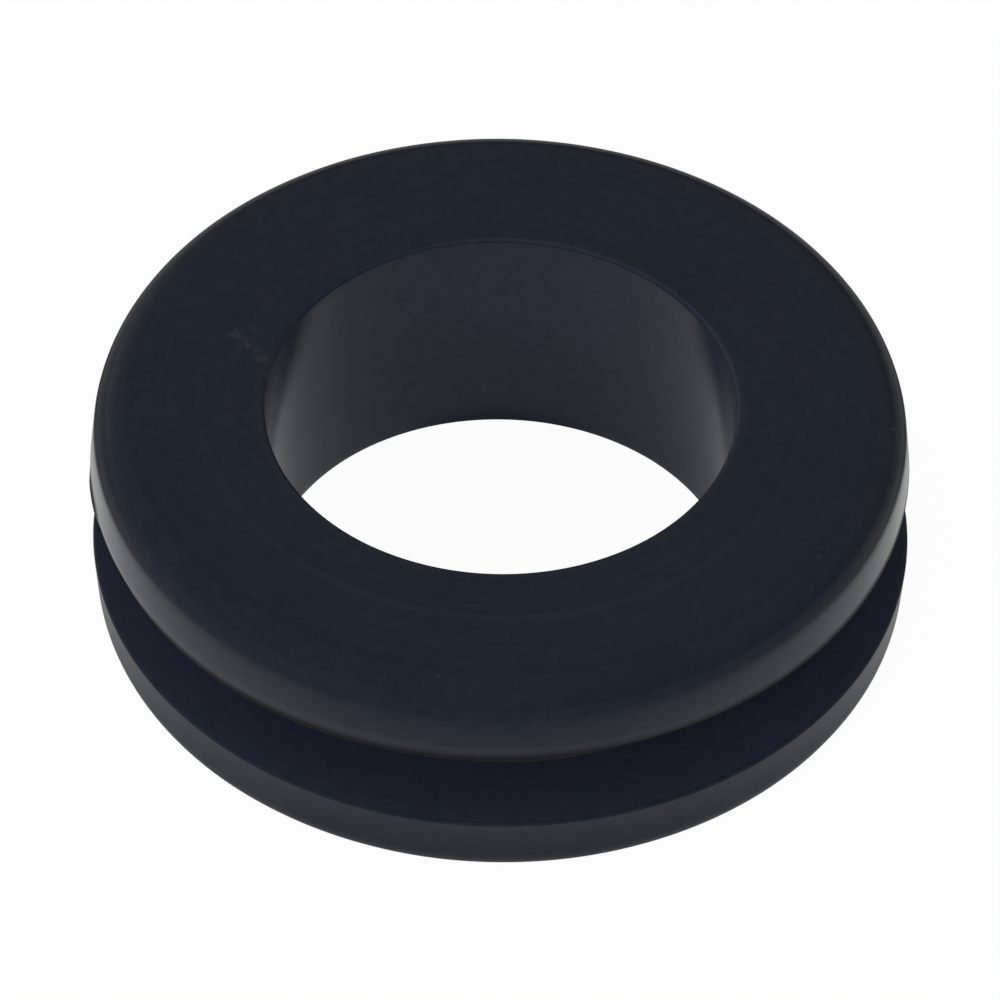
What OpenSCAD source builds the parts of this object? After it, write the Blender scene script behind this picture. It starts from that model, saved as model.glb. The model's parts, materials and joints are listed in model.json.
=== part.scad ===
// Rubber grommet: a ring that snaps into a round hole in a thin panel and lines
// the hole, so that a cable or a pipe can pass without chafing. It is moulded
// in one piece: two flanges, a neck between them that the panel closes on, and
// a straight bore through all three.
//
// Millimetres. +Z is the axis of the bore, and the origin is on that axis at
// the bottom face. The section is drawn as x = radius, y = height, and is
// turned once round the axis.

/* [Bore] */
// Diameter of the bore
bore_d = 12.7; // [6:0.1:15.6]
// Radius that rounds each mouth of the bore
bore_edge_r = 0.2; // [0.05:0.05:0.8]

/* [Flanges] */
// Diameter of each flange, at its corner beside the groove
flange_d = 22.2; // [18.4:0.1:32]
// Thickness of each flange
flange_t = 2.25; // [1.5:0.05:5]
// Radius of the shoulder between a flange's outer face and its rim
shoulder_r = 1.15; // [0.3:0.05:2]
// Radius that blunts the corner between a rim and the groove
lip_r = 0.1; // [0.05:0.01:0.4]
// Mould draft of each rim, which leans inwards from the groove to the face
rim_draft = 5; // [0:0.5:12]

/* [Groove] */
// Diameter of the neck, which is the panel hole that the grommet fills
groove_d = 17; // [14:0.1:20.4]
// Width of the groove, which is the thickest panel that it takes
groove_w = 2.6; // [1:0.1:8]
// Radius of the fillets at the foot of the groove
groove_root_r = 0.3; // [0.05:0.05:0.9]

/* [Hidden] */

rubber = "#22262D";
turn_steps = 128;
arc_steps = 64;

// The section is drawn from the flange's sharp corner beside the groove, so
// these are measured inwards from there
flange_w = (flange_d - bore_d) / 2;
groove_depth = (flange_d - groove_d) / 2;

// A rounding is never larger than the wall or the step that it rounds
mouth = min(bore_edge_r, flange_t / 3);
shoulder = min(shoulder_r, flange_t - 2 * lip_r);
root = min(groove_root_r, groove_w / 2, groove_depth / 2);

// Where a circle of radius r stands to touch the leaning rim from inside, with
// its centre at a height above the groove, and the point where it touches
function tangent_x(r, above) = -above * tan(rim_draft) - r / cos(rim_draft);
function touch_point(r, above) =
    [tangent_x(r, above) + r * cos(rim_draft), above + r * sin(rim_draft)];

lip_x = tangent_x(lip_r, lip_r);
shoulder_y = flange_t - shoulder;
shoulder_x = tangent_x(shoulder, shoulder_y);
mouth_x = mouth - flange_w;
mouth_y = flange_t - mouth;

module disc(centre, r) {
    translate(centre)
        circle(r = r, $fn = arc_steps);
}

// Half section of one flange, with its outer face on top. Three of its corners
// are cut straight across in the polygon, and each is filled out to an arc by a
// circle that is tangent to both of its sides.
module flange_section() {
    polygon([
        [-flange_w, 0],
        [lip_x, 0],
        touch_point(lip_r, lip_r),
        touch_point(shoulder, shoulder_y),
        [shoulder_x, flange_t],
        [mouth_x, flange_t],
        [-flange_w, mouth_y]
    ]);
    disc([lip_x, lip_r], lip_r);
    disc([mouth_x, mouth_y], mouth);
    // The shoulder's circle is kept out of the groove
    intersection() {
        disc([shoulder_x, shoulder_y], shoulder);
        translate([-flange_w, lip_r])
            square([flange_w, flange_t]);
    }
}

// What fills the corner between the neck and a flange, with that corner at the
// origin
module root_fillet() {
    difference() {
        square(root);
        disc([root, root], root);
    }
}

// Half section of the neck, standing on the lower flange
module neck_section() {
    translate([-flange_w, 0])
        square([flange_w - groove_depth, groove_w]);
    translate([-groove_depth, 0])
        root_fillet();
    translate([-groove_depth, groove_w])
        mirror([0, 1])
            root_fillet();
}

module grommet() {
    color(rubber)
        rotate_extrude($fn = turn_steps)
            translate([flange_d / 2, flange_t]) {
                mirror([0, 1])
                    flange_section();
                neck_section();
                translate([0, groove_w])
                    flange_section();
            }
}

grommet();
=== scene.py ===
"""Rubber grommet, moulded in one piece: the ring, the finish of its skin, and the plain studio that it stands in."""

import json
import math

import bpy
from bpy.props import FloatProperty, IntProperty, PointerProperty, StringProperty
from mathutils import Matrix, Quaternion, Vector


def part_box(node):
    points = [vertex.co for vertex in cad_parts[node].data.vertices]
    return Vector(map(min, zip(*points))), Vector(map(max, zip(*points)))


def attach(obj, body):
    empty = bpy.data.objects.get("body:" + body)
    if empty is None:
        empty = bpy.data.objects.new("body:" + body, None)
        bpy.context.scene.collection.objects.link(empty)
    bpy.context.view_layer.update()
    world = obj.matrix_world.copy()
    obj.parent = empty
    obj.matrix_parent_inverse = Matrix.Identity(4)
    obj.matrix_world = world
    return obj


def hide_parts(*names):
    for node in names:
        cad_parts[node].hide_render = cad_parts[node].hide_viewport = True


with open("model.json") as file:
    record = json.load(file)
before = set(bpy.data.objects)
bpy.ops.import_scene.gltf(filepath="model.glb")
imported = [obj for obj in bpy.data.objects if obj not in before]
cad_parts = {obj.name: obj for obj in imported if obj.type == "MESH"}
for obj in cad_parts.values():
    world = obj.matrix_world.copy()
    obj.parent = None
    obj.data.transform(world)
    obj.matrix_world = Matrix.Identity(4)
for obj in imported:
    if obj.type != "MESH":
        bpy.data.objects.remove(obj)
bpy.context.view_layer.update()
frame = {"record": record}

bl_info = {
    "name": "Moulded Rubber Grommet",
    "version": (1, 0, 0),
    "blender": (4, 5, 0),
    "location": "3D View > Sidebar > Grommet",
    "description": "Makes a rubber grommet with two flanges and a groove, and a plain studio round it",
    "category": "Object",
}

MM = 0.001
LOW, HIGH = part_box("grommet")
BORE = next(m["dims"] for m in frame["record"]["mounts"] if m["name"] == "bore")
BORE_R = BORE["r_mm"] * MM


# ---------------------------------------------------------------- helpers


def linear(colour):
    """An sRGB hex colour, such as #22262D, as linear RGBA."""
    parts = [int(colour[i : i + 2], 16) / 255 for i in (1, 3, 5)]
    return [c / 12.92 if c <= 0.04045 else ((c + 0.055) / 1.055) ** 2.4 for c in parts] + [1.0]


def feed(tree, node, inputs):
    """Sets a node's inputs, by name or in order. Each is a value, an output, or a node whose first output is used."""
    for key, value in inputs.items() if isinstance(inputs, dict) else enumerate(inputs):
        if isinstance(value, bpy.types.Node):
            value = value.outputs[0]
        if isinstance(value, bpy.types.NodeSocket):
            tree.links.new(value, node.inputs[key])
        else:
            node.inputs[key].default_value = value


def add(tree, kind, inputs=(), **settings):
    """Adds a node with its own settings, and feeds its inputs."""
    node = tree.nodes.new(kind)
    for name, value in settings.items():
        setattr(node, name, value)
    feed(tree, node, inputs)
    return node


# ---------------------------------------------------------------- sizes, finish and studio


class GrommetSizes(bpy.types.PropertyGroup):
    """Sizes of the moulded section, which is turned once round the bore."""

    height: FloatProperty(
        name="Height", description="From one outer face to the other",
        default=HIGH.z - LOW.z, unit="LENGTH", precision=5)
    bore_r: FloatProperty(
        name="Bore Radius", description="Radius of the straight bore",
        default=BORE_R, unit="LENGTH", precision=5)
    mouth_r: FloatProperty(
        name="Mouth Radius", description="Rounding of each mouth of the bore",
        default=(HIGH.z - LOW.z - BORE["length_mm"] * MM) / 2, unit="LENGTH", precision=5)
    flange_r: FloatProperty(
        name="Flange Radius", description="Radius of a flange at its corner beside the groove",
        default=11.1 * MM, unit="LENGTH", precision=5)
    rim_draft: FloatProperty(
        name="Rim Draft", description="Mould draft by which each rim leans inwards",
        default=math.radians(5), subtype="ANGLE")
    shoulder_r: FloatProperty(
        name="Shoulder Radius", description="Rounding between an outer face and its rim",
        default=1.15 * MM, unit="LENGTH", precision=5)
    lip_r: FloatProperty(
        name="Lip Radius", description="Rounding between a rim and the groove",
        default=0.1 * MM, unit="LENGTH", precision=5)
    neck_r: FloatProperty(
        name="Neck Radius", description="Radius at the foot of the groove",
        default=8.5 * MM, unit="LENGTH", precision=5)
    groove_w: FloatProperty(
        name="Groove Width", description="Gap between the two flanges",
        default=2.6 * MM, unit="LENGTH", precision=5)
    root_r: FloatProperty(
        name="Root Radius", description="Fillets at the foot of the groove",
        default=0.3 * MM, unit="LENGTH", precision=5)
    flash: FloatProperty(
        name="Flash", description="How far a scrap of mould flash stands proud of the upper lip",
        default=0.09 * MM, unit="LENGTH", precision=6)
    bead: FloatProperty(
        name="Flash Bead", description="How far a bead of mould flash hangs from the near side of the upper lip",
        default=0.26 * MM, unit="LENGTH", precision=6)
    mismatch: FloatProperty(
        name="Mould Mismatch", description="Shift of each flange where the halves of the mould don't quite line up",
        default=0.02 * MM, unit="LENGTH", precision=6)
    shrinkage: FloatProperty(
        name="Shrinkage", description="Deepest unevenness left where the rubber shrank as it cooled",
        default=0.02 * MM, unit="LENGTH", precision=6)
    turn_steps: IntProperty(
        name="Turn Steps", description="Steps of the mesh round the bore", default=360, min=64, max=720)
    spacing: FloatProperty(
        name="Section Spacing", description="Longest step of the mesh along a straight stretch of the section",
        default=0.25 * MM, unit="LENGTH", precision=5)


class RubberFinish(bpy.types.PropertyGroup):
    """Colours and grain of the moulded skin."""

    skin: StringProperty(
        name="Skin Colour", description="sRGB hex colour of the black rubber", default="#141C29")
    bloom: StringProperty(
        name="Cloud Colour", description="sRGB hex colour where a little wax has come to the surface",
        default="#1E242F")
    # Painted light: a paler, bluer tone in the groove and the bore that stands in for light reaching them
    recess_glow: StringProperty(
        name="Recess Glow Colour", description="sRGB hex colour of painted light in the groove and the bore",
        default="#282D3C")
    # Painted shade along the upper lip, standing in for a rounder lip that mirrors the dark groove
    lip_shade: StringProperty(
        name="Lip Shade Colour", description="sRGB hex colour of the painted shade along the upper lip",
        default="#06080B")
    scuff: StringProperty(
        name="Scuff Colour", description="sRGB hex colour of scuffed rubber", default="#50545C")
    roughness: FloatProperty(
        name="Roughness", description="Mean roughness of the skin", default=0.15, min=0, max=1)
    specular: FloatProperty(
        name="Specular Level", description="Low, because a skin full of carbon black and pits reflects little",
        default=0.27, min=0, max=1)
    grain: FloatProperty(
        name="Grain Size", description="Width of the pits that the spark-eroded mould leaves",
        default=0.07 * MM, unit="LENGTH", precision=6)
    grain_depth: FloatProperty(
        name="Grain Depth", description="Depth of those pits",
        default=0.002 * MM, unit="LENGTH", precision=6)
    cloud: FloatProperty(
        name="Bloom Cloud", description="Width of a cloud of bloom",
        default=3 * MM, unit="LENGTH", precision=5)
    mottle: FloatProperty(
        name="Mottle Size", description="Width of the coarsest specks in the fine mottle of the bloom",
        default=0.35 * MM, unit="LENGTH", precision=6)
    tool_mark: FloatProperty(
        name="Tool Mark Pitch", description="Spacing of the turning marks that the mould leaves round the axis",
        default=0.3 * MM, unit="LENGTH", precision=6)


class StudioSetup(bpy.types.PropertyGroup):
    """Camera, floor and light."""

    lens: FloatProperty(
        name="Lens", description="Focal length in millimetres", default=473.14)
    distance: FloatProperty(
        name="Distance", description="From the camera to the point that it looks at",
        default=356.8 * MM, unit="LENGTH")
    elevation: FloatProperty(
        name="Elevation", description="Angle of the camera above the horizon",
        default=math.radians(45.18), subtype="ANGLE")
    roll: FloatProperty(
        name="Roll", description="Turn of the camera about its line of sight",
        default=math.radians(0.80), subtype="ANGLE")
    aim: FloatProperty(
        name="Aim Height", description="Height on the axis of the point that the camera looks at",
        default=3.365 * MM, unit="LENGTH", precision=5)
    floor: StringProperty(
        name="Floor Colour", description="sRGB hex colour of the floor", default="#F2F2F2")
    glow: FloatProperty(
        name="Floor Glow", description="Share of the floor that the camera sees as plain white",
        default=0.96, min=0, max=1)
    bore_glow: FloatProperty(
        name="Bore Glow", description="Brightness of the floor inside the bore as the skin mirrors it",
        default=0.44, min=0, max=1)
    ceiling: FloatProperty(
        name="Ceiling Light", description="Brightness of the room overhead", default=0.30)
    horizon: FloatProperty(
        name="Horizon Light", description="Brightness of the room low down at the back", default=0.06)
    window: FloatProperty(
        name="Window Light", description="Brightness of the room low down on the left", default=0.40)
    wall: FloatProperty(
        name="Wall Light", description="Brightness of the room low down in front and at the right", default=0.20)
    front: FloatProperty(
        name="Front Softbox", description="Brightness of the softbox beside the camera", default=2.4)
    left: FloatProperty(
        name="Left Softbox", description="Brightness of the softbox on the left", default=1.1)
    right: FloatProperty(
        name="Right Softbox", description="Brightness of the softbox on the right", default=0.7)


# ---------------------------------------------------------------- the moulded ring

# Points on the arc at each corner of half the section: mouth, shoulder, lip and root
ARC_POINTS = (6, 20, 6, 8)
LAST_CORNER = 2 * len(ARC_POINTS) - 1

# Where the scrap of flash is, how far it runs to each side, and how wide the strip of the lip is that flash grows from
FLASH_ANGLE = math.radians(188)
FLASH_SPREAD = math.radians(7)
FLASH_BAND = 0.12 * MM
# The middle of the bead of flash, where it starts and is full to each side, and its share round the rest of the lip
BEAD_ANGLE = math.radians(-114)
BEAD_SPREAD = (math.radians(43), math.radians(27))
BEAD_ELSEWHERE = 0.3
# Width of a patch that shrank
SHRINK_SIZE = 5 * MM
SHRINK_SEED = 3.0

RING_SOCKETS = {
    "height": "NodeSocketFloat",
    "bore_r": "NodeSocketFloat",
    "mouth_r": "NodeSocketFloat",
    "flange_r": "NodeSocketFloat",
    "rim_draft": "NodeSocketFloat",
    "shoulder_r": "NodeSocketFloat",
    "lip_r": "NodeSocketFloat",
    "neck_r": "NodeSocketFloat",
    "groove_w": "NodeSocketFloat",
    "root_r": "NodeSocketFloat",
    "flash": "NodeSocketFloat",
    "bead": "NodeSocketFloat",
    "mismatch": "NodeSocketFloat",
    "shrinkage": "NodeSocketFloat",
    "turn_steps": "NodeSocketInt",
    "spacing": "NodeSocketFloat",
    "rubber": "NodeSocketMaterial",
}


def rounded_section(tree, size):
    """The section as a closed curve with its corners rounded: x is measured outwards from the flange's corner, and y
    upwards from the middle. Both halves are alike, so a corner is counted from the nearer end of the outline."""
    index = add(tree, "GeometryNodeInputIndex")
    from_end = add(tree, "ShaderNodeMath", [LAST_CORNER, index], operation="SUBTRACT")
    corner = add(tree, "ShaderNodeMath", [index, from_end], operation="MINIMUM")
    above = add(tree, "ShaderNodeMath", [index, from_end], operation="SUBTRACT")
    side = add(tree, "ShaderNodeMath", [above], operation="SIGN")

    both_flanges = add(tree, "ShaderNodeMath", [size["height"], size["groove_w"]], operation="SUBTRACT")
    flange_t = add(tree, "ShaderNodeMath", [both_flanges, 2], operation="DIVIDE")
    slope = add(tree, "ShaderNodeMath", [size["rim_draft"]], operation="TANGENT")
    lean = add(tree, "ShaderNodeMath", [flange_t, slope], operation="MULTIPLY")
    face_r = add(tree, "ShaderNodeMath", [size["flange_r"], lean], operation="SUBTRACT")

    table = {
        "radius": ("FLOAT", [size["bore_r"], face_r, size["flange_r"], size["neck_r"]]),
        "span": ("FLOAT", [size["height"], size["height"], size["groove_w"], size["groove_w"]]),
        "rounding": ("FLOAT", [size["mouth_r"], size["shoulder_r"], size["lip_r"], size["root_r"]]),
        "arc": ("INT", ARC_POINTS),
    }
    picked = {}
    for name, (data_type, items) in table.items():
        picked[name] = add(tree, "GeometryNodeIndexSwitch", data_type=data_type)
        while len(picked[name].index_switch_items) < len(items):
            picked[name].index_switch_items.new()
        feed(tree, picked[name], [corner, *items])

    x = add(tree, "ShaderNodeMath", [picked["radius"], size["flange_r"]], operation="SUBTRACT")
    half_span = add(tree, "ShaderNodeMath", [picked["span"], 2], operation="DIVIDE")
    y = add(tree, "ShaderNodeMath", [half_span, side], operation="MULTIPLY")
    place = add(tree, "ShaderNodeCombineXYZ", [x, y])
    points = add(tree, "GeometryNodePoints", {"Count": LAST_CORNER + 1, "Position": place})
    outline = add(tree, "GeometryNodePointsToCurves", [points])
    closed = add(tree, "GeometryNodeSetSplineCyclic", {"Geometry": outline, "Cyclic": True})
    rounded = add(tree, "GeometryNodeFilletCurve",
                  {"Curve": closed, "Count": picked["arc"], "Radius": picked["rounding"]}, mode="POLY")

    # Straight stretches are divided by their length, which keeps the shading true beside an arc
    here = add(tree, "GeometryNodeInputPosition")
    onward = add(tree, "GeometryNodeOffsetPointInCurve", {"Point Index": index, "Offset": 1})
    there = add(tree, "GeometryNodeFieldAtIndex", {"Value": here, "Index": onward.outputs["Point Index"]},
                data_type="FLOAT_VECTOR")
    stretch = add(tree, "ShaderNodeVectorMath", [here, there], operation="DISTANCE")
    steps = add(tree, "ShaderNodeMath", [stretch.outputs["Value"], size["spacing"]], operation="DIVIDE")
    cuts = add(tree, "ShaderNodeMath", [steps], operation="FLOOR")
    return add(tree, "GeometryNodeSubdivideCurve", {"Curve": rounded, "Cuts": cuts})


def unevenness(tree, size):
    """How far each point of the ring lies from the perfect form: sunk a little where the rubber shrank, proud where a
    scrap and a bead of flash were left on the lip, and shifted where the halves of the mould don't line up."""
    position = add(tree, "GeometryNodeInputPosition")
    normal = add(tree, "GeometryNodeInputNormal")
    axes = add(tree, "ShaderNodeSeparateXYZ", [position])
    flat = add(tree, "ShaderNodeCombineXYZ", [axes.outputs["X"], axes.outputs["Y"]])
    outwards = add(tree, "ShaderNodeVectorMath", [flat], operation="NORMALIZE")
    radius = add(tree, "ShaderNodeVectorMath", [flat], operation="LENGTH").outputs["Value"]

    # Shrinkage sinks the skin along its normal
    noise = add(tree, "ShaderNodeTexNoise", {"Vector": position, "W": SHRINK_SEED, "Scale": 1 / SHRINK_SIZE,
                                             "Detail": 1.0}, noise_dimensions="4D")
    depth = add(tree, "ShaderNodeMath", [noise, size["shrinkage"]], operation="MULTIPLY")
    sunk = add(tree, "ShaderNodeVectorMath", {0: normal, "Scale": depth}, operation="SCALE")

    # Flash grows from a narrow strip along the corner of the upper lip
    lip_z = add(tree, "ShaderNodeMath", [size["groove_w"], 2], operation="DIVIDE")
    from_lip = add(tree, "ShaderNodeMath", [axes.outputs["Z"], lip_z], operation="SUBTRACT")
    gap = add(tree, "ShaderNodeMath", [from_lip], operation="ABSOLUTE")
    along = add(tree, "ShaderNodeMapRange", {"Value": gap, "From Min": FLASH_BAND, "From Max": 0},
                interpolation_type="SMOOTHSTEP")
    inset = add(tree, "ShaderNodeMath", [size["flange_r"], radius], operation="SUBTRACT")
    outside = add(tree, "ShaderNodeMapRange", {"Value": inset, "From Min": 2 * FLASH_BAND, "From Max": FLASH_BAND},
                  interpolation_type="SMOOTHSTEP")
    near = add(tree, "ShaderNodeMath", [along, outside], operation="MULTIPLY")

    # A scrap of it stands proud
    aim = (math.cos(FLASH_ANGLE), math.sin(FLASH_ANGLE), 0)
    facing = add(tree, "ShaderNodeVectorMath", [outwards, aim], operation="DOT_PRODUCT").outputs["Value"]
    across = add(tree, "ShaderNodeMapRange", {"Value": facing, "From Min": math.cos(FLASH_SPREAD), "From Max": 1},
                 interpolation_type="SMOOTHSTEP")
    share = add(tree, "ShaderNodeMath", [near, across], operation="MULTIPLY")
    reach = add(tree, "ShaderNodeMath", [share, size["flash"]], operation="MULTIPLY")
    proud = add(tree, "ShaderNodeVectorMath", {0: outwards, "Scale": reach}, operation="SCALE")
    flashed = add(tree, "ShaderNodeVectorMath", [proud, sunk], operation="SUBTRACT")

    # A bead of it hangs down. The noise, which averages a half, makes it thick and thin by turns
    below = (math.cos(BEAD_ANGLE), math.sin(BEAD_ANGLE), 0)
    turned = add(tree, "ShaderNodeVectorMath", [outwards, below], operation="DOT_PRODUCT").outputs["Value"]
    bead = add(tree, "ShaderNodeMapRange", {"Value": turned, "From Min": math.cos(BEAD_SPREAD[0]),
                                            "From Max": math.cos(BEAD_SPREAD[1]), "To Min": BEAD_ELSEWHERE},
               interpolation_type="SMOOTHSTEP")
    noisy_share = add(tree, "ShaderNodeMath", [noise, 0.5], operation="ADD")
    hang = add(tree, "ShaderNodeMath", [bead, noisy_share], operation="MULTIPLY")
    drop = add(tree, "ShaderNodeMath", [hang, near], operation="MULTIPLY")
    down = add(tree, "ShaderNodeMath", [drop, size["bead"]], operation="MULTIPLY")
    minus = add(tree, "ShaderNodeMath", [down, -1], operation="MULTIPLY")

    # The flanges are shifted to opposite sides, and the neck passes from one to the other
    low_lip = add(tree, "ShaderNodeMath", [lip_z, -1], operation="MULTIPLY")
    half = add(tree, "ShaderNodeMapRange", {"Value": axes.outputs["Z"], "From Min": low_lip, "From Max": lip_z,
                                            "To Min": 1, "To Max": -1})
    aside = add(tree, "ShaderNodeMath", [half, size["mismatch"]], operation="MULTIPLY")
    moved = add(tree, "ShaderNodeCombineXYZ", {"X": aside, "Z": minus})
    return add(tree, "ShaderNodeVectorMath", [flashed, moved], operation="ADD")


def ring_tree():
    """Turns the rounded section once round the axis."""
    tree = bpy.data.node_groups.new("Turned moulded section", "GeometryNodeTree")
    tree.interface.new_socket("Geometry", in_out="INPUT", socket_type="NodeSocketGeometry")
    for name, kind in RING_SOCKETS.items():
        tree.interface.new_socket(name, in_out="INPUT", socket_type=kind)
    tree.interface.new_socket("Geometry", in_out="OUTPUT", socket_type="NodeSocketGeometry")
    size = add(tree, "NodeGroupInput").outputs

    path = add(tree, "GeometryNodeCurvePrimitiveCircle",
               {"Resolution": size["turn_steps"], "Radius": size["flange_r"]})
    upright = add(tree, "GeometryNodeSetCurveNormal", [path], mode="Z_UP")
    ring = add(tree, "GeometryNodeCurveToMesh", {"Curve": upright, "Profile Curve": rounded_section(tree, size)})
    worn = add(tree, "GeometryNodeSetPosition", {"Geometry": ring, "Offset": unevenness(tree, size)})
    middle = add(tree, "ShaderNodeMath", [size["height"], 2], operation="DIVIDE")
    lift = add(tree, "ShaderNodeCombineXYZ", {"Z": middle})
    raised = add(tree, "GeometryNodeSetPosition", {"Geometry": worn, "Offset": lift})
    smooth = add(tree, "GeometryNodeSetShadeSmooth", [raised])
    whole = add(tree, "GeometryNodeRealizeInstances", [smooth])
    painted = add(tree, "GeometryNodeSetMaterial", {"Geometry": whole, "Material": size["rubber"]})
    add(tree, "NodeGroupOutput", [painted])
    return tree


# ---------------------------------------------------------------- the rubber

# One step of a soft border between two finishes, which the borders below are counted in
BLEND = 0.05 * MM

# Bloom: shares of the turning marks and of the fine patterns in it, and the levels at which it starts and is full
TURNED_SHARE = 0.25
FINE_SHARE = 0.75
BLOOM_LEVELS = (0.38, 0.62)
# Painted light in the groove and the bore, a paler bluer tone that stands in for light reaching them: where it
# starts and is full above the groove, in from the rim and behind the wall of the bore, the bore's share of it, and
# how weak and strong the mottle makes it
GROOVE_TOP = (2 * BLEND, BLEND)
GROOVE_RIM = (BLEND, 3 * BLEND)
BORE_SKIN = (1.8 * BLEND, 0.5 * BLEND)
BORE_SHARE = 0.6
GLOW_MOTTLE_LEVELS = (0.3, 0.7)
GLOW_MOTTLE_SHARES = (0.6, 1.4)

# Painted shade along the upper lip, which stands in for a rounder lip mirroring the dark groove: its height above
# and below the lip, how much higher it reaches on the right and between which places that grows, and how far in from
# the rim it is looked for
LIP_SHADE_HEIGHT = (2.6 * BLEND, -2.4 * BLEND)
LIP_SHADE_BROADER = 0.17 * MM
LIP_SHADE_ACROSS = (-8 * MM, 10 * MM)
LIP_SHADE_DEPTH = 8 * BLEND

# What the clouds add to the roughness or take from it, and what matt skin adds: in the groove, and on the strip of
# painted shade along the upper lip
GLOSS_PLAY = 0.04
MATT_ROUGHNESS = 0.6

# Scuffs and dust: x, y and z in mm, radius in mm, share of the scuff colour
SCUFFS = (
    # Where a wire was dragged over the face and down into the bore
    (-7.24, 2.56, 7.10, 0.35, 0.17), (-7.10, 2.28, 7.10, 0.25, 0.14), (-6.97, 2.13, 7.10, 0.32, 0.20),
    (-6.66, 1.95, 7.10, 0.25, 0.14), (-6.69, 2.65, 7.10, 0.20, 0.12), (-6.50, 1.53, 7.10, 0.34, 0.26),
    (-6.16, 1.75, 6.65, 0.30, 0.38), (-6.30, 1.05, 6.75, 0.32, 0.34), (-6.34, 0.60, 6.60, 0.35, 0.25),
    (-5.92, 2.38, 6.60, 0.20, 0.12), (-5.50, 3.49, 7.10, 0.08, 0.10), (-8.20, 3.86, 7.10, 0.18, 0.07),
    # Small ones elsewhere on the face and the shoulder
    (-1.13, -9.99, 7.08, 0.10, 0.50), (-1.52, -10.11, 7.05, 0.09, 0.35), (1.10, -10.20, 7.03, 0.08, 0.12),
    (1.33, -10.20, 7.03, 0.10, 0.14), (1.57, -10.18, 7.03, 0.08, 0.10), (-6.92, -3.17, 7.10, 0.10, 0.10),
    (-7.48, -4.12, 7.10, 0.09, 0.18), (8.55, -5.61, 7.06, 0.12, 0.12), (5.03, 5.65, 7.10, 0.08, 0.18),
    (10.66, -0.55, 6.78, 0.09, 0.60), (6.59, -8.75, 6.70, 0.12, 0.12), (-10.31, -2.82, 6.76, 0.10, 0.18),
    (0.47, -8.71, 7.10, 0.12, 0.06), (3.09, 6.27, 7.10, 0.10, 0.10), (2.50, 5.87, 6.91, 0.10, 0.12),
)
# The ragged edge of a scuff: width of a tongue, and how far it is pulled out. The crumbs of dust in it: their width,
# the levels between which a gap becomes a crumb, and the share of the scuff that shows in each
SCUFF_WARP = 0.4 * MM
SCUFF_PULL = 1.5 * SCUFF_WARP
CRUMB_SIZE = 0.2 * MM
CRUMB_LEVELS = (0.38, 0.58)
CRUMB_SHARES = (0.25, 1.5)

# Pale places at the mouth of the bore and on the pin ring: width of a patch in them, the levels between which it
# fades and its least share
PATCH_SIZE = 0.8 * MM
PATCH_LEVELS = (0.35, 0.65)
PATCH_LEAST = 0.6
# The mouth of the bore: the shares in its rounding and at its corner, where these start and are full behind the wall
# and below the face, and the back of the mouth, which is less pale
MOUTH_SHARES = (0.04, 0.34)
MOUTH_CORNER = (2.4 * BLEND, 0.4 * BLEND)
MOUTH_END = (8 * BLEND, 2 * BLEND)
MOUTH_DEPTH = (6 * BLEND, 3.5 * BLEND)
MOUTH_BACK = (4 * MM, 0)
MOUTH_BACK_SHARE = 0.15
# The ring that the core pin left: its inner edge, middle and outer edge, its share, and where it fades in at the front
PIN_RING = (7.95 * MM, 8.10 * MM, 8.25 * MM)
PIN_SHARE = 0.07
PIN_FRONT = (0, -6 * MM)


def scuffs(tree, coordinates):
    """Share of the scuff colour at each point. One noise makes the outline of each mark ragged, and a finer one
    leaves gaps in it."""
    ragged = add(tree, "ShaderNodeTexNoise", {"Vector": coordinates, "Scale": 1 / SCUFF_WARP, "Detail": 4.0})
    centred = add(tree, "ShaderNodeVectorMath", [ragged.outputs["Color"], (0.5, 0.5, 0.5)], operation="SUBTRACT")
    moved = add(tree, "ShaderNodeVectorMath", {0: centred, 1: (SCUFF_PULL,) * 3, 2: coordinates},
                operation="MULTIPLY_ADD")
    total = 0.0
    for x, y, z, radius, share in SCUFFS:
        gap = add(tree, "ShaderNodeVectorMath", [moved, (x * MM, y * MM, z * MM)], operation="DISTANCE")
        mark = add(tree, "ShaderNodeMapRange", {"Value": gap.outputs["Value"], "From Min": radius * MM, "From Max": 0,
                                                "To Max": share}, interpolation_type="SMOOTHSTEP")
        total = add(tree, "ShaderNodeMath", [total, mark], operation="MAXIMUM")
    crumbs = add(tree, "ShaderNodeTexNoise", {"Vector": coordinates, "Scale": 1 / CRUMB_SIZE, "Detail": 1.0})
    kept = add(tree, "ShaderNodeMapRange", {"Value": crumbs, "From Min": CRUMB_LEVELS[0], "From Max": CRUMB_LEVELS[1],
                                            "To Min": CRUMB_SHARES[0], "To Max": CRUMB_SHARES[1]})
    return add(tree, "ShaderNodeMath", [total, kept], operation="MULTIPLY")


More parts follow.
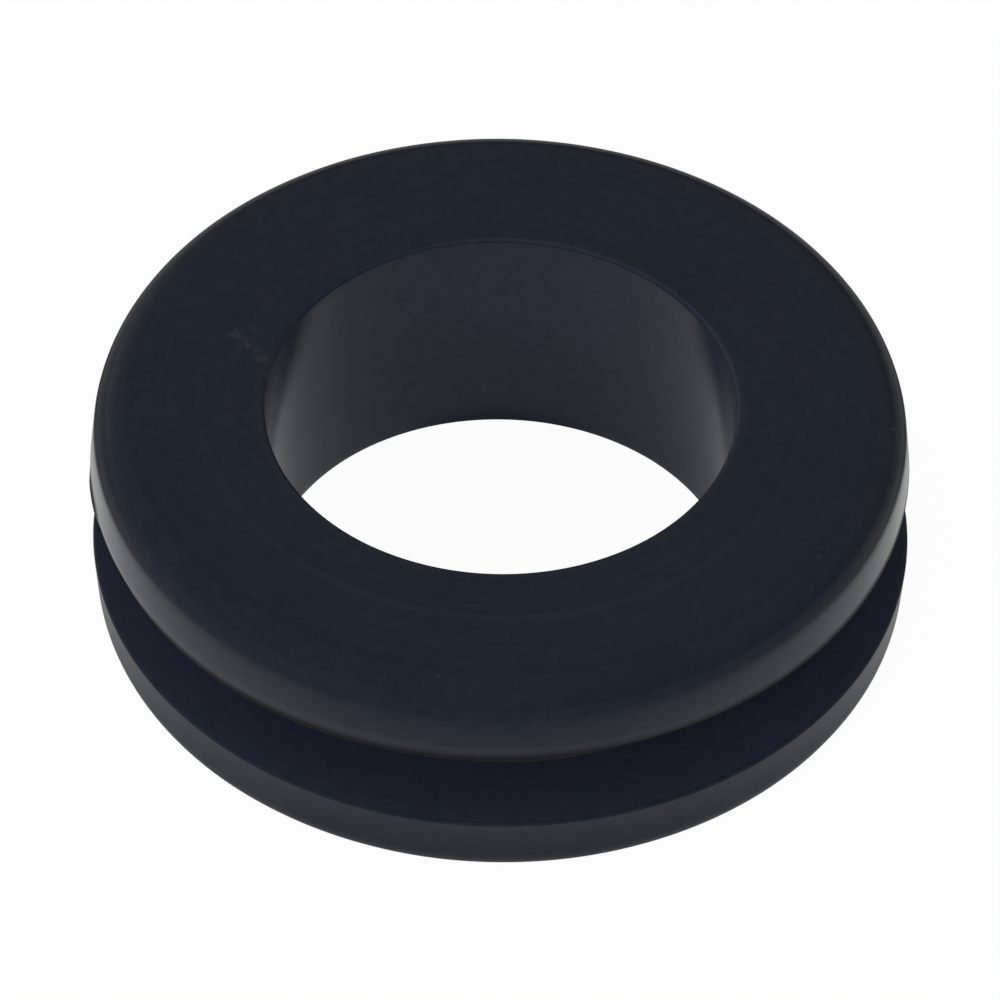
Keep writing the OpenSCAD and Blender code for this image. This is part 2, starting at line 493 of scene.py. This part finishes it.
def mouth_and_pin_ring(tree, radius, coordinates, axes, size):
    """Share of the scuff colour on the rounding of the upper mouth of the bore, less at the back, and on the faint ring
    that the mould's core pin left on the face."""
    patchy = add(tree, "ShaderNodeTexNoise", {"Vector": coordinates, "Scale": 1 / PATCH_SIZE, "Detail": 4.0})
    uneven = add(tree, "ShaderNodeMapRange", {"Value": patchy, "From Min": PATCH_LEVELS[0],
                                              "From Max": PATCH_LEVELS[1], "To Min": PATCH_LEAST})

    corner = add(tree, "ShaderNodeMapRange", {"Value": radius, "From Min": size.bore_r + MOUTH_CORNER[0],
                                              "From Max": size.bore_r + MOUTH_CORNER[1], "To Min": MOUTH_SHARES[0],
                                              "To Max": MOUTH_SHARES[1]}, interpolation_type="SMOOTHSTEP")
    near = add(tree, "ShaderNodeMapRange", {"Value": radius, "From Min": size.bore_r + MOUTH_END[0],
                                            "From Max": size.bore_r + MOUTH_END[1]})
    high = add(tree, "ShaderNodeMapRange", {"Value": axes.outputs["Z"], "From Min": size.height - MOUTH_DEPTH[0],
                                            "From Max": size.height - MOUTH_DEPTH[1]})
    beside = add(tree, "ShaderNodeMapRange", {"Value": axes.outputs["Y"], "From Min": MOUTH_BACK[0],
                                              "From Max": MOUTH_BACK[1], "To Min": MOUTH_BACK_SHARE})
    edge = add(tree, "ShaderNodeMath", [corner, near], operation="MULTIPLY")
    upper = add(tree, "ShaderNodeMath", [edge, high], operation="MULTIPLY")
    mouth = add(tree, "ShaderNodeMath", [upper, beside], operation="MULTIPLY")

    inner = add(tree, "ShaderNodeMapRange", {"Value": radius, "From Min": PIN_RING[0], "From Max": PIN_RING[1],
                                             "To Max": PIN_SHARE})
    outer = add(tree, "ShaderNodeMapRange", {"Value": radius, "From Min": PIN_RING[2], "From Max": PIN_RING[1],
                                             "To Max": PIN_SHARE})
    line = add(tree, "ShaderNodeMath", [inner, outer], operation="MINIMUM")
    here = add(tree, "ShaderNodeMapRange", {"Value": axes.outputs["Y"], "From Min": PIN_FRONT[0],
                                            "From Max": PIN_FRONT[1]})
    ring = add(tree, "ShaderNodeMath", [line, here], operation="MULTIPLY")
    both = add(tree, "ShaderNodeMath", [mouth, ring], operation="ADD")
    return add(tree, "ShaderNodeMath", [both, uneven], operation="MULTIPLY")


def groove_walls(tree, radius, off_middle, size):
    """1 on the walls and the neck of the groove, and 0 elsewhere."""
    level = add(tree, "ShaderNodeMapRange", {"Value": off_middle, "From Min": size.groove_w / 2 + GROOVE_TOP[0],
                                             "From Max": size.groove_w / 2 + GROOVE_TOP[1]})
    depth = add(tree, "ShaderNodeMapRange", {"Value": radius, "From Min": size.flange_r - GROOVE_RIM[0],
                                             "From Max": size.flange_r - GROOVE_RIM[1]})
    outside = add(tree, "ShaderNodeMath", [radius, (size.bore_r + size.neck_r) / 2], operation="GREATER_THAN")
    band = add(tree, "ShaderNodeMath", [level, outside], operation="MULTIPLY")
    return add(tree, "ShaderNodeMath", [band, depth], operation="MULTIPLY")


def shaded_lip_edge(tree, radius, rise, axes, size):
    """1 on a strip along the upper lip, which gets painted shade and a matt skin, and 0 elsewhere."""
    broader = add(tree, "ShaderNodeMapRange", {"Value": axes.outputs["X"], "From Min": LIP_SHADE_ACROSS[0],
                                               "From Max": LIP_SHADE_ACROSS[1], "To Max": LIP_SHADE_BROADER})
    sunk = add(tree, "ShaderNodeMath", [rise, broader], operation="SUBTRACT")
    low_edge = add(tree, "ShaderNodeMapRange", {"Value": sunk, "From Min": size.groove_w / 2 + LIP_SHADE_HEIGHT[0],
                                                "From Max": size.groove_w / 2 + LIP_SHADE_HEIGHT[1]})
    on_top = add(tree, "ShaderNodeMath", [rise, 0], operation="GREATER_THAN")
    on_rim = add(tree, "ShaderNodeMath", [radius, size.flange_r - LIP_SHADE_DEPTH], operation="GREATER_THAN")
    above_groove = add(tree, "ShaderNodeMath", [low_edge, on_top], operation="MULTIPLY")
    return add(tree, "ShaderNodeMath", [above_groove, on_rim], operation="MULTIPLY")


def moulded_rubber(size, finish):
    """Black neoprene, compression moulded against a spark-eroded steel mould. That gives a satin skin with fine
    pits, which reflects little from the front and a lot at a glancing angle, and wax blooms on it in faint clouds."""
    material = bpy.data.materials.new("Moulded black neoprene")
    material.use_nodes = True
    tree = material.node_tree
    tree.nodes.clear()
    coordinates = add(tree, "ShaderNodeTexCoord").outputs["Object"]
    axes = add(tree, "ShaderNodeSeparateXYZ", [coordinates])
    flat = add(tree, "ShaderNodeCombineXYZ", [axes.outputs["X"], axes.outputs["Y"]])
    radius = add(tree, "ShaderNodeVectorMath", [flat], operation="LENGTH").outputs["Value"]
    rise = add(tree, "ShaderNodeMath", [axes.outputs["Z"], size.height / 2], operation="SUBTRACT")
    off_middle = add(tree, "ShaderNodeMath", [rise], operation="ABSOLUTE")

    # The bloom lies in clouds, in fine grain and in the faint turning marks of the mould
    clouds = add(tree, "ShaderNodeTexNoise", {"Vector": coordinates, "Scale": 1 / finish.cloud, "Detail": 4.0})
    mottle = add(tree, "ShaderNodeTexNoise", {"Vector": coordinates, "Scale": 1 / finish.mottle, "Detail": 4.0,
                                              "Roughness": 0.7})
    turned = add(tree, "ShaderNodeTexNoise", {"W": radius, "Scale": 1 / finish.tool_mark, "Detail": 2.0},
                 noise_dimensions="1D")
    fine = add(tree, "ShaderNodeMix", {"Factor": TURNED_SHARE, "A": mottle.outputs[0], "B": turned.outputs[0]},
               data_type="FLOAT")
    bloom = add(tree, "ShaderNodeMix", {"Factor": FINE_SHARE, "A": clouds.outputs[0], "B": fine.outputs[0]},
                data_type="FLOAT")
    cover = add(tree, "ShaderNodeMapRange", {"Value": bloom.outputs[0], "From Min": BLOOM_LEVELS[0],
                                             "From Max": BLOOM_LEVELS[1]})
    colour = add(tree, "ShaderNodeMix", {"Factor": cover, "A": linear(finish.skin), "B": linear(finish.bloom)},
                 data_type="RGBA")

    # Painted light: the groove and the bore get a paler, bluer, mottled tone that stands in for light reaching them
    groove = groove_walls(tree, radius, off_middle, size)
    bore = add(tree, "ShaderNodeMapRange", {"Value": radius, "From Min": size.bore_r + BORE_SKIN[0],
                                            "From Max": size.bore_r + BORE_SKIN[1], "To Max": BORE_SHARE})
    either = add(tree, "ShaderNodeMath", [groove, bore], operation="MAXIMUM")
    noisy_share = add(tree, "ShaderNodeMapRange", {"Value": mottle, "From Min": GLOW_MOTTLE_LEVELS[0],
                                             "From Max": GLOW_MOTTLE_LEVELS[1], "To Min": GLOW_MOTTLE_SHARES[0],
                                             "To Max": GLOW_MOTTLE_SHARES[1]})
    recess_glow = add(tree, "ShaderNodeMath", [either, noisy_share], operation="MULTIPLY")
    tone = add(tree, "ShaderNodeMix", {"Factor": recess_glow, "A": colour.outputs["Result"],
                                       "B": linear(finish.recess_glow)}, data_type="RGBA")

    # Painted shade: a strip along the upper lip is nearly black, standing in for a rounder lip that mirrors the dark
    # groove
    lip_shade = shaded_lip_edge(tree, radius, rise, axes, size)
    with_lip_shade = add(tree, "ShaderNodeMix", {"Factor": lip_shade, "A": tone.outputs["Result"], "B": linear(finish.lip_shade)},
               data_type="RGBA")

    # Scuffs, the mouth of the bore and the pin ring are paler and duller
    wear = add(tree, "ShaderNodeMath", [scuffs(tree, coordinates), mouth_and_pin_ring(tree, radius, coordinates, axes, size)],
               operation="ADD", use_clamp=True)
    worn = add(tree, "ShaderNodeMix", {"Factor": wear, "A": with_lip_shade.outputs["Result"], "B": linear(finish.scuff)},
               data_type="RGBA")

    pits = add(tree, "ShaderNodeTexNoise", {"Vector": coordinates, "Scale": 1 / finish.grain, "Detail": 2.0})
    bump = add(tree, "ShaderNodeBump", {"Height": pits, "Strength": 1.0, "Distance": finish.grain_depth})
    gloss = add(tree, "ShaderNodeMapRange", {"Value": clouds, "To Min": finish.roughness - GLOSS_PLAY,
                                             "To Max": finish.roughness + GLOSS_PLAY})
    matt = add(tree, "ShaderNodeMath", [lip_shade, groove], operation="MAXIMUM")
    rough = add(tree, "ShaderNodeMath", [matt, MATT_ROUGHNESS, gloss], operation="MULTIPLY_ADD")
    dull = add(tree, "ShaderNodeMath", [wear, rough], operation="ADD")
    skin = add(tree, "ShaderNodeBsdfPrincipled", {"Base Color": worn.outputs["Result"], "Roughness": dull,
                                                  "Specular IOR Level": finish.specular, "Normal": bump})
    add(tree, "ShaderNodeOutputMaterial", [skin])
    return material


# ---------------------------------------------------------------- the floor and its painted light

# Painted shadow where the grommet stands: its share at the middle, and the distances where it starts to end and ends
CONTACT = (9.8 * MM, 14.3 * MM)
CONTACT_GLOW = 0.1
# Painted pool of light that the skin mirrors: its middle, the pool being wider than it is deep, the distance from
# it where the pool is as bright as the floor can be, and the power by which it falls away
POOL_PLACE = (0, -3.4 * MM, LOW.z)
POOL_STRETCH = (0.905, 1, 1)
POOL_REACH = 14.1 * MM
POOL_FALL = 10
# Painted light that the floor adds far from the grommet
FAR_GLOW = 0.37
FAR_GLOW_START = (16 * MM, 23 * MM)
# Painted shadow behind the grommet: how far a direction points to the back where it starts and is full
BEHIND = (0.1, 0.5)
BEHIND_SHARE = 0.65
# Painted light in the bore: brighter on the left, dimmer on the right, and painted shade at the foot of the back wall
BORE_LEAN = 0.12
BACK_SHADE = (5.5 * MM, 6.35 * MM)
BACK_SHADE_GLOW = 0.3


def painted_light_floor(studio):
    """Pale floor. The camera sees nearly all of it as plain white. The skin mirrors a painted pool of light round the
    grommet, with a painted shadow where the grommet stands, and the pool fades away from its middle."""
    material = bpy.data.materials.new("Pale floor with painted light")
    material.use_nodes = True
    tree = material.node_tree
    tree.nodes.clear()
    seen = add(tree, "ShaderNodeLightPath").outputs
    coordinates = add(tree, "ShaderNodeTexCoord").outputs["Object"]
    axes = add(tree, "ShaderNodeSeparateXYZ", [coordinates])
    radius = add(tree, "ShaderNodeVectorMath", [coordinates], operation="LENGTH").outputs["Value"]

    # The painted pool of light round the grommet, and the painted shadows on it
    stretched = add(tree, "ShaderNodeVectorMath", [coordinates, POOL_STRETCH], operation="MULTIPLY")
    reach = add(tree, "ShaderNodeVectorMath", [stretched, POOL_PLACE], operation="DISTANCE").outputs["Value"]
    # Painted shadow where the grommet stands
    contact = add(tree, "ShaderNodeMapRange", {"Value": radius, "From Min": CONTACT[0], "From Max": CONTACT[1],
                                               "To Min": CONTACT_GLOW}, interpolation_type="SMOOTHSTEP")
    # Painted light: a pool that falls away from its middle
    nearness = add(tree, "ShaderNodeMath", [POOL_REACH, reach], operation="DIVIDE")
    painted_pool_or_lamp = add(tree, "ShaderNodeMath", [nearness, POOL_FALL], operation="POWER")
    direction = add(tree, "ShaderNodeVectorMath", [coordinates], operation="NORMALIZE")
    towards = add(tree, "ShaderNodeSeparateXYZ", [direction])
    # Painted shadow behind the grommet
    behind = add(tree, "ShaderNodeMapRange", {"Value": towards.outputs["Y"], "From Min": BEHIND[0],
                                              "From Max": BEHIND[1], "To Min": 1, "To Max": BEHIND_SHARE},
                 interpolation_type="SMOOTHSTEP")
    # Painted light far from the grommet
    far_glow = add(tree, "ShaderNodeMapRange", {"Value": radius, "From Min": FAR_GLOW_START[0], "From Max": FAR_GLOW_START[1],
                                            "To Max": FAR_GLOW}, interpolation_type="SMOOTHSTEP")
    open_glow = add(tree, "ShaderNodeMath", [painted_pool_or_lamp, far_glow], operation="ADD", use_clamp=True)
    shaded = add(tree, "ShaderNodeMath", [open_glow, behind], operation="MULTIPLY")
    patch = add(tree, "ShaderNodeMath", [contact, shaded], operation="MULTIPLY")

    # The painted light and painted shade on the floor inside the bore
    within = add(tree, "ShaderNodeMath", [radius, BORE_R], operation="LESS_THAN")
    in_bore = add(tree, "ShaderNodeMapRange", {"Value": axes.outputs["X"], "From Min": -BORE_R, "From Max": BORE_R,
                                               "To Min": (1 + BORE_LEAN) * studio.bore_glow,
                                               "To Max": (1 - BORE_LEAN) * studio.bore_glow})
    back = add(tree, "ShaderNodeMapRange", {"Value": axes.outputs["Y"], "From Min": BACK_SHADE[0],
                                            "From Max": BACK_SHADE[1], "To Min": 1, "To Max": BACK_SHADE_GLOW})
    sheltered = add(tree, "ShaderNodeMath", [in_bore, back], operation="MULTIPLY")

    level = add(tree, "ShaderNodeMix", {"Factor": within, "A": patch, "B": sheltered}, data_type="FLOAT")
    shade = add(tree, "ShaderNodeMath", [level.outputs[0], seen["Is Camera Ray"]], operation="MAXIMUM")
    tone = add(tree, "ShaderNodeVectorMath", {0: linear(studio.floor)[:3], "Scale": shade}, operation="SCALE")
    # The camera sees nearly plain white. Other rays see the painted light: the skin mirrors it as emission, as do
    # diffuse rays inside the bore, and elsewhere diffuse rays meet it in the paint, darker where it is painted dim
    paint = add(tree, "ShaderNodeBsdfDiffuse", {"Color": tone})
    white = add(tree, "ShaderNodeEmission", {"Strength": shade})
    bright = add(tree, "ShaderNodeMath", [seen["Is Glossy Ray"], within], operation="MAXIMUM")
    share = add(tree, "ShaderNodeMix", {"Factor": seen["Is Camera Ray"], "A": bright, "B": studio.glow},
                data_type="FLOAT")
    surface = add(tree, "ShaderNodeMixShader", [share.outputs[0], paint, white])
    add(tree, "ShaderNodeOutputMaterial", [surface])
    return material


# ---------------------------------------------------------------- operators

FLOOR_SIDE = 2.0
# Directions in the room, each as how far it points to the back, to the right or up, where one level ends and the next
# starts
ROOM_BACK = (0.5, 1)
ROOM_RIGHT = (-0.65, -0.15)
ROOM_UP = (0, 0.6)
# Softboxes: the direction of each round the axis, their size and distance in metres, and their angle above the floor
SOFTBOXES = {"front": math.radians(-105), "left": math.radians(170), "right": math.radians(-25)}
SOFTBOX_SIZE = (1.0, 0.6)
SOFTBOX_DISTANCE = 0.9
SOFTBOX_RISE = math.radians(32)


class GROMMET_OT_ring(bpy.types.Operator):
    """Makes the grommet by turning its moulded section once round the bore"""

    bl_idname = "grommet.ring"
    bl_label = "Moulded Ring"

    def execute(self, context):
        size = context.scene.grommet_sizes
        piece = bpy.data.objects.new("moulded_grommet", bpy.data.meshes.new("moulded_grommet"))
        context.scene.collection.objects.link(piece)
        values = {name: getattr(size, name) for name in RING_SOCKETS if name != "rubber"}
        values["rubber"] = moulded_rubber(size, context.scene.grommet_finish)
        modifier = piece.modifiers.new("Turned section", "NODES")
        modifier.node_group = ring_tree()
        for socket in modifier.node_group.interface.items_tree:
            if socket.name in values:
                modifier[socket.identifier] = values[socket.name]
        evaluated = piece.evaluated_get(context.evaluated_depsgraph_get())
        mesh = bpy.data.meshes.new_from_object(evaluated)
        piece.modifiers.clear()
        if not mesh.polygons:
            raise RuntimeError("the section made no mesh")
        blank, piece.data = piece.data, mesh
        bpy.data.meshes.remove(blank)
        mesh.name = piece.name
        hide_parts("grommet")
        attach(piece, "root")
        return {"FINISHED"}


class GROMMET_OT_studio(bpy.types.Operator):
    """Makes the floor, the light and the camera"""

    bl_idname = "grommet.studio"
    bl_label = "Plain Studio"

    def execute(self, context):
        studio = context.scene.grommet_studio
        self.lay_floor(context, studio)
        self.light_room(context, studio)
        self.hang_softboxes(context, studio)
        self.aim_camera(context, studio)
        context.scene.view_settings.view_transform = "Standard"
        return {"FINISHED"}

    def lay_floor(self, context, studio):
        half = FLOOR_SIDE / 2
        corners = [(-half, -half, LOW.z), (half, -half, LOW.z), (half, half, LOW.z), (-half, half, LOW.z)]
        mesh = bpy.data.meshes.new("floor")
        mesh.from_pydata(corners, [], [range(len(corners))])
        mesh.materials.append(painted_light_floor(studio))
        floor = bpy.data.objects.new("floor", mesh)
        context.scene.collection.objects.link(floor)

    def light_room(self, context, studio):
        world = bpy.data.worlds.new("Soft studio")
        world.use_nodes = True
        context.scene.world = world
        tree = world.node_tree
        tree.nodes.clear()
        direction = add(tree, "ShaderNodeSeparateXYZ", [add(tree, "ShaderNodeTexCoord").outputs["Generated"]])
        low = add(tree, "ShaderNodeMapRange", {"Value": direction.outputs["Y"], "From Min": ROOM_BACK[0],
                                               "From Max": ROOM_BACK[1], "To Min": studio.wall,
                                               "To Max": studio.horizon}, interpolation_type="SMOOTHSTEP")
        beside = add(tree, "ShaderNodeMapRange", {"Value": direction.outputs["X"], "From Min": ROOM_RIGHT[0],
                                                  "From Max": ROOM_RIGHT[1], "To Min": studio.window,
                                                  "To Max": low}, interpolation_type="SMOOTHSTEP")
        level = add(tree, "ShaderNodeMapRange", {"Value": direction.outputs["Z"], "From Min": ROOM_UP[0],
                                                 "From Max": ROOM_UP[1], "To Min": beside,
                                                 "To Max": studio.ceiling}, interpolation_type="SMOOTHSTEP")
        seen = add(tree, "ShaderNodeLightPath").outputs["Is Camera Ray"]
        strength = add(tree, "ShaderNodeMix", {"Factor": seen, "A": level.outputs[0], "B": 1.0}, data_type="FLOAT")
        sky = add(tree, "ShaderNodeBackground", {"Color": (1, 1, 1, 1), "Strength": strength})
        add(tree, "ShaderNodeOutputWorld", [sky])

    def hang_softboxes(self, context, studio):
        for name, turn in SOFTBOXES.items():
            painted_pool_or_lamp = bpy.data.lights.new(name + "_softbox", "AREA")
            painted_pool_or_lamp.shape = "RECTANGLE"
            painted_pool_or_lamp.size, painted_pool_or_lamp.size_y = SOFTBOX_SIZE
            # Its watts come from its brightness and its area
            painted_pool_or_lamp.energy = getattr(studio, name) * math.pi * painted_pool_or_lamp.size * painted_pool_or_lamp.size_y
            softbox = bpy.data.objects.new(painted_pool_or_lamp.name, painted_pool_or_lamp)
            context.scene.collection.objects.link(softbox)
            outwards = Vector((math.cos(SOFTBOX_RISE) * math.cos(turn), math.cos(SOFTBOX_RISE) * math.sin(turn),
                               math.sin(SOFTBOX_RISE)))
            softbox.location = SOFTBOX_DISTANCE * outwards
            softbox.rotation_euler = outwards.to_track_quat("Z", "Y").to_euler()
            # The satin skin shows no image of them
            softbox.visible_glossy = False

    def aim_camera(self, context, studio):
        camera = bpy.data.objects.new("camera", bpy.data.cameras.new("camera"))
        context.scene.collection.objects.link(camera)
        back = Vector((0, -math.cos(studio.elevation), math.sin(studio.elevation)))
        camera.location = Vector((0, 0, studio.aim)) + studio.distance * back
        camera.rotation_mode = "QUATERNION"
        camera.rotation_quaternion = back.to_track_quat("Z", "Y") @ Quaternion((0, 0, 1), studio.roll)
        camera.data.lens = studio.lens
        context.scene.camera = camera


# ---------------------------------------------------------------- panel and registration


class GROMMET_PT_sidebar(bpy.types.Panel):
    """Sizes, finish and studio of the grommet"""

    bl_label = "Rubber Grommet"
    bl_space_type = "VIEW_3D"
    bl_region_type = "UI"
    bl_category = "Grommet"

    def draw(self, context):
        for title, group, operator in (
            ("Sizes", context.scene.grommet_sizes, None),
            ("Finish", context.scene.grommet_finish, GROMMET_OT_ring),
            ("Studio", context.scene.grommet_studio, GROMMET_OT_studio),
        ):
            box = self.layout.box()
            box.label(text=title)
            for name in type(group).__annotations__:
                box.prop(group, name)
            if operator:
                box.operator(operator.bl_idname)


CLASSES = (GrommetSizes, RubberFinish, StudioSetup, GROMMET_OT_ring, GROMMET_OT_studio, GROMMET_PT_sidebar)


def register():
    for cls in CLASSES:
        bpy.utils.register_class(cls)
    bpy.types.Scene.grommet_sizes = PointerProperty(type=GrommetSizes)
    bpy.types.Scene.grommet_finish = PointerProperty(type=RubberFinish)
    bpy.types.Scene.grommet_studio = PointerProperty(type=StudioSetup)


def unregister():
    del bpy.types.Scene.grommet_studio
    del bpy.types.Scene.grommet_finish
    del bpy.types.Scene.grommet_sizes
    for cls in reversed(CLASSES):
        bpy.utils.unregister_class(cls)


def main():
    register()
    bpy.ops.grommet.studio()
    bpy.ops.grommet.ring()


if __name__ == "__main__":
    main()
